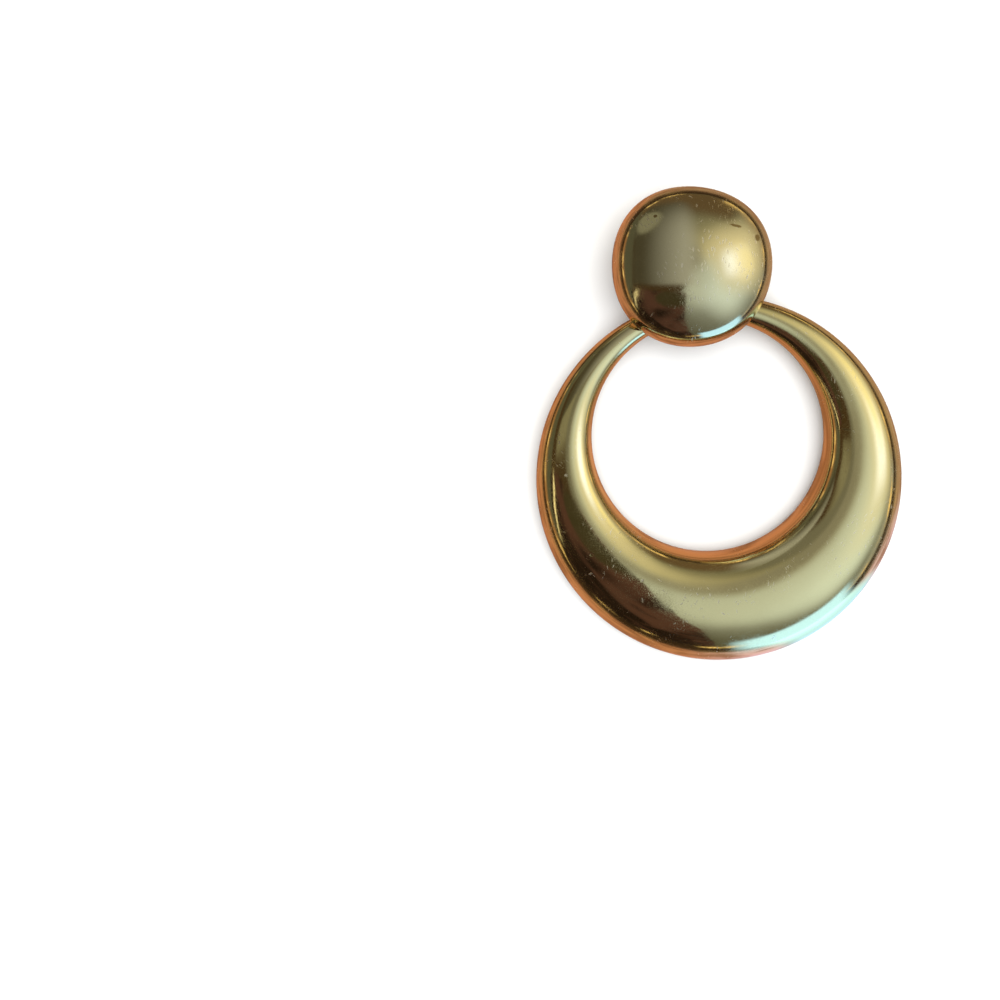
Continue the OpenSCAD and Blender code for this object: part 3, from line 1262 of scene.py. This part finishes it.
# %% The olive card
OLIVE_OUTLINE = ((-190, -34), (-20, -34), (6, -6), (6, 100), (-190, 130))
CARD_OLIVE = (0.24, 0.22, 0.15, 1)
CARD_DIM = (0.06, 0.035, 0.015, 1)
CARD_EDGE = (0.17, 0.16, 0.125, 1)
OLIVE_BACK = (2 * MM, 16 * MM)
OLIVE_END = (75 * MM, 30 * MM)
OLIVE_LEFT = (-140 * MM, -100 * MM)
OLIVE_SLANT = 0.5
OLIVE_EDGE = (-34 * MM, -10 * MM)
OLIVE_COVER = (5 * MM, -14 * MM)


def olive_colour(tree, place):
    """Dim at the front and far left, olive at the back, and paler along the right edge."""
    parts = add(tree, "ShaderNodeSeparateXYZ", Vector=place)
    back = remap(tree, parts.outputs[1], *OLIVE_BACK)
    near = remap(tree, parts.outputs[0], *OLIVE_LEFT)
    patch = math_node(tree, "MULTIPLY", back, remap(tree, parts.outputs[1], *OLIVE_END))
    inner = mix_colour(tree, math_node(tree, "MULTIPLY", patch, near), CARD_DIM, CARD_OLIVE)
    slant = math_node(tree, "MULTIPLY", parts.outputs[1], OLIVE_SLANT)
    slanted = math_node(tree, "ADD", parts.outputs[0], slant)
    return mix_colour(tree, remap(tree, slanted, *OLIVE_EDGE), inner, CARD_EDGE)


def olive_cover(tree, place):
    """A soft right edge."""
    right = add(tree, "ShaderNodeSeparateXYZ", Vector=place).outputs[0]
    return remap(tree, right, *OLIVE_COVER)


make_near_card("olive_card", OLIVE_OUTLINE, HIGH_CARD, olive_colour, olive_cover)

# %% [markdown]
# Two lights go with them: a thin golden strip along the brown card's back edge, which draws a bright
# line beside the dark shape, and a yellow light with soft edges at the right. The strip hangs a
# little lower than the brown card, so that the two planes never share a place.

# %% The golden strip and the yellow light
CARD_STEP = 1 * MM
STRIP_OUTLINE = ((-82, -4), (-78, -12), (-165, -98), (-172, -92))
STRIP_GOLD = (1.2, 1.0, 0.6, 1)
STRIP_SCALE = 40.0
STRIP_STEP = (0.6, 0.3)
YELLOW_OUTLINE = ((40, -6), (144, -6), (144, 78), (40, 78))
YELLOW = (1.2, 1.04, 0.58, 1)
YELLOW_PATCH = ((92 * MM, 36 * MM), (52 * MM, 42 * MM), 1.0, 0.2)
YELLOW_SHARE = 0.8


def strip_colour(tree, place):
    """Gold, a little uneven along its length."""
    cloud = add(tree, "ShaderNodeTexNoise", Vector=place, Scale=STRIP_SCALE)
    return mix_colour(tree, remap(tree, cloud.outputs[0], *STRIP_STEP), STRIP_GOLD, CARD_OLIVE)


def yellow_cover(tree, place):
    """The yellow light fades out towards its edge."""
    return math_node(tree, "MULTIPLY", round_patch(tree, place, *YELLOW_PATCH), YELLOW_SHARE)


make_near_card("gold_strip", STRIP_OUTLINE, LOW_CARDS - CARD_STEP, strip_colour)
make_near_card("yellow_light", YELLOW_OUTLINE, LOW_CARDS, YELLOW, yellow_cover)

# %% [markdown]
# The last card hangs low over the button alone, where the crescent hardly sees it. A dome that
# mirrors one even tone looks like a flat coin. This card is dark at its left and pale at its right,
# which rounds the dome, and all its edges fade out, so that the card itself can't be made out.

# %% The card over the button
DOME_OUTLINE = ((-48, 8), (6, 8), (6, 92), (-48, 92))
DOME_DARK = (0.07, 0.06, 0.04, 1)
DOME_PALE = (0.62, 0.62, 0.6, 1)
DOME_OLIVE = (0.25, 0.24, 0.18, 1)
DOME_ACROSS = (-34 * MM, 16 * MM)
DOME_BACK = (30 * MM, 80 * MM, 1.0, 0.15)
DOME_PATCH = ((-31 * MM, 55 * MM), (13 * MM, 13 * MM), 1.1, 0.7)
DOME_FADES = (
    # 0 across or 1 along, where the card is gone, where it is whole
    (0, -46 * MM, -38 * MM),
    (0, 5 * MM, -7 * MM),
    (1, 9 * MM, 12 * MM),
    (1, 90 * MM, 70 * MM),
)


def dome_colour(tree, place):
    """Grey from dark at the left to pale at the right, darker at the back, with an olive patch."""
    parts = add(tree, "ShaderNodeSeparateXYZ", Vector=place)
    across = remap(tree, parts.outputs[0], *DOME_ACROSS)
    back = remap(tree, parts.outputs[1], *DOME_BACK)
    tone = mix_colour(tree, math_node(tree, "MULTIPLY", across, back), DOME_DARK, DOME_PALE)
    return mix_colour(tree, round_patch(tree, place, *DOME_PATCH), tone, DOME_OLIVE)


def dome_cover(tree, place):
    """All four edges fade out."""
    parts = add(tree, "ShaderNodeSeparateXYZ", Vector=place)
    cover = 1.0
    for way, gone, full in DOME_FADES:
        cover = math_node(tree, "MULTIPLY", cover, remap(tree, parts.outputs[way], gone, full))
    return cover


make_near_card("dome_card", DOME_OUTLINE, DOME_CARD, dome_colour, dome_cover)

# %% [markdown]
# Last, the boxes of the dressed and the imported earring are both measured and printed. Blender
# doesn't change the object's size.

# %% Measure and finish
visual_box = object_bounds()
for label, box in (("packed", cad_box), ("dressed", visual_box)):
    print(label, [round((box[1][i] - box[0][i]) / MM, 2) for i in range(3)], "mm")
